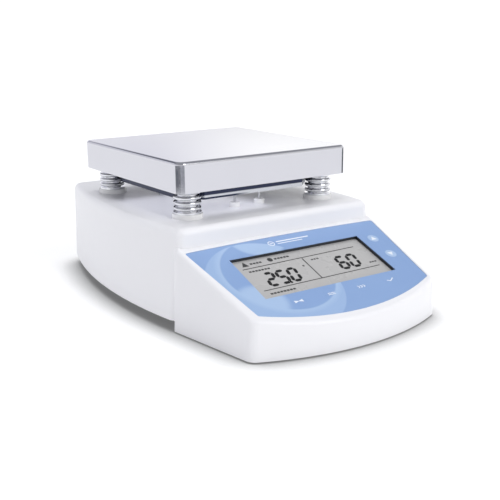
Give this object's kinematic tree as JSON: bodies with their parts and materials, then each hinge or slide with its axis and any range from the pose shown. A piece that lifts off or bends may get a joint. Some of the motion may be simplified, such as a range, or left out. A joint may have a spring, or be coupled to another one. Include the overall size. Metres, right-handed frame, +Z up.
{
  "type": "magnetic stirrer hot plate",
  "caption": "Bench magnetic stirrer with a square heated plate on ribbed standoffs and a sloping display panel.",
  "frame": {"origin": "on the bench under the centre of the bounding box", "axes": "+Z up from the bench through the hot plate, -Y towards the control panel at the front, +X to the right of someone facing the panel"},
  "size_m": [0.1946, 0.3142, 0.1155],
  "materials": {
    "bearing_bronze": "sintered bronze",
    "black_plastic": "fine texture",
    "black_rubber": "matt",
    "capacitor_sleeve": "shrink sleeve",
    "carrier_aluminium": "machined",
    "cast_aluminium": "as cast",
    "circuit_board": "solder resist",
    "copper_winding": "enamelled copper",
    "display_face": "reflective liquid-crystal display",
    "element_sheath": "heat-browned steel sheath",
    "fuse_glass": "clear",
    "housing_white": "moulded ABS, soft gloss",
    "insulation": "pressed ceramic fibre",
    "jack_nut": "nickel plate",
    "key_print": "embossed polyester film",
    "lead_rods": "drawn rod",
    "magnet_nickel": "nickel plate",
    "motor_steel": "zinc-plated",
    "overlay_print": "printed polyester film",
    "pillar_brass": "turned",
    "pin_brass": "nickelled brass",
    "plated_standoffs": "bright nickel plate",
    "relay_case": "moulded",
    "ribbon_grey": "ribbed",
    "rocker_plastic": "moulded",
    "shaft_steel": "ground",
    "shield_steel": "satin",
    "stainless_plate": "polished stainless steel",
    "steel_screws": "bright zinc plate",
    "terminal_green": "moulded",
    "transformer_core": "varnished laminations",
    "white_ceramic": "glazed",
    "wire_sleeve": "silicone sleeve",
    "zinc_sheet": "zinc-plated sheet steel"
  },
  "bodies": {
    "chassis": {"base_plate": "zinc_sheet", "beeper": "black_plastic", "board_pillars": "pillar_brass", "capacitors": "capacitor_sleeve", "case_screws": "steel_screws", "display_board": "circuit_board", "display_frame": "black_plastic", "display_module": "display_face", "display_screws": "steel_screws", "foot_screws": "steel_screws", "heat_shield": "shield_steel", "heat_sink": "carrier_aluminium", "heater_leads": "lead_rods", "heater_wires": "wire_sleeve", "heating_element": "element_sheath", "heating_plate": "cast_aluminium", "housing": "housing_white", "inlet_pins": "pin_brass", "insulation_pad": "insulation", "key_switches": "black_plastic", "lead_bushings": "white_ceramic", "mains_wires": "wire_sleeve", "motor_bearings": "bearing_bronze", "motor_bracket": "zinc_sheet", "motor_can": "motor_steel", "motor_screws": "steel_screws", "motor_stator": "copper_winding", "panel_overlay": "overlay_print", "power_board": "circuit_board", "power_inlet": "black_plastic", "probe_jack": "black_plastic", "probe_jack_nut": "jack_nut", "relay": "relay_case", "ribbon_cable": "ribbon_grey", "rubber_feet": "black_rubber", "shield_screws": "steel_screws", "signal_wires": "wire_sleeve", "standoff_screws": "steel_screws", "standoff_washers": "white_ceramic", "standoffs": "plated_standoffs", "switch_frame": "black_plastic", "temperature_sensor": "lead_rods", "terminal_blocks": "terminal_green", "top_plate": "stainless_plate", "transformer": "transformer_core", "triac": "black_plastic"},
    "rotor": {"motor_shaft": "shaft_steel", "motor_armature": "motor_steel", "magnet_carrier": "carrier_aluminium", "drive_magnets": "magnet_nickel", "cooling_fan": "black_plastic"},
    "rocker_body": {"rocker": "rocker_plastic"},
    "drawer": {"fuse_drawer": "black_plastic", "fuse_link": "fuse_glass"},
    "key_up_body": {"key_up": "key_print"},
    "key_down_body": {"key_down": "key_print"},
    "key_timer_body": {"key_timer": "key_print"},
    "key_heat_body": {"key_heat": "key_print"},
    "key_speed_body": {"key_speed": "key_print"},
    "key_set_body": {"key_set": "key_print"}
  },
  "joints": [
    {"name": "stirrer_spin", "type": "hinge", "parent": "chassis", "child": "rotor", "pos_m": [0, 0.032, 0.046], "axis": [0, 0, 1], "continuous": true},
    {"name": "power_rocker", "type": "hinge", "parent": "chassis", "child": "rocker_body", "pos_m": [0.004, 0.1505, 0.038], "axis": [1, 0, 0], "range_deg": [0, 16]},
    {"name": "fuse_drawer_slide", "type": "slide", "parent": "chassis", "child": "drawer", "axis": [0, 1, 0], "range_m": [0, 0.018]},
    {"name": "key_up_press", "type": "slide", "parent": "chassis", "child": "key_up_body", "axis": [0, 0.3616, -0.9323], "range_m": [0, 0.0005], "stiffness_N_per_m": 300},
    {"name": "key_down_press", "type": "slide", "parent": "chassis", "child": "key_down_body", "axis": [0, 0.3616, -0.9323], "range_m": [0, 0.0005], "stiffness_N_per_m": 300},
    {"name": "key_timer_press", "type": "slide", "parent": "chassis", "child": "key_timer_body", "axis": [0, 0.3616, -0.9323], "range_m": [0, 0.0005], "stiffness_N_per_m": 300},
    {"name": "key_heat_press", "type": "slide", "parent": "chassis", "child": "key_heat_body", "axis": [0, 0.3616, -0.9323], "range_m": [0, 0.0005], "stiffness_N_per_m": 300},
    {"name": "key_speed_press", "type": "slide", "parent": "chassis", "child": "key_speed_body", "axis": [0, 0.3616, -0.9323], "range_m": [0, 0.0005], "stiffness_N_per_m": 300},
    {"name": "key_set_press", "type": "slide", "parent": "chassis", "child": "key_set_body", "axis": [0, 0.3616, -0.9323], "range_m": [0, 0.0005], "stiffness_N_per_m": 300}
  ]
}
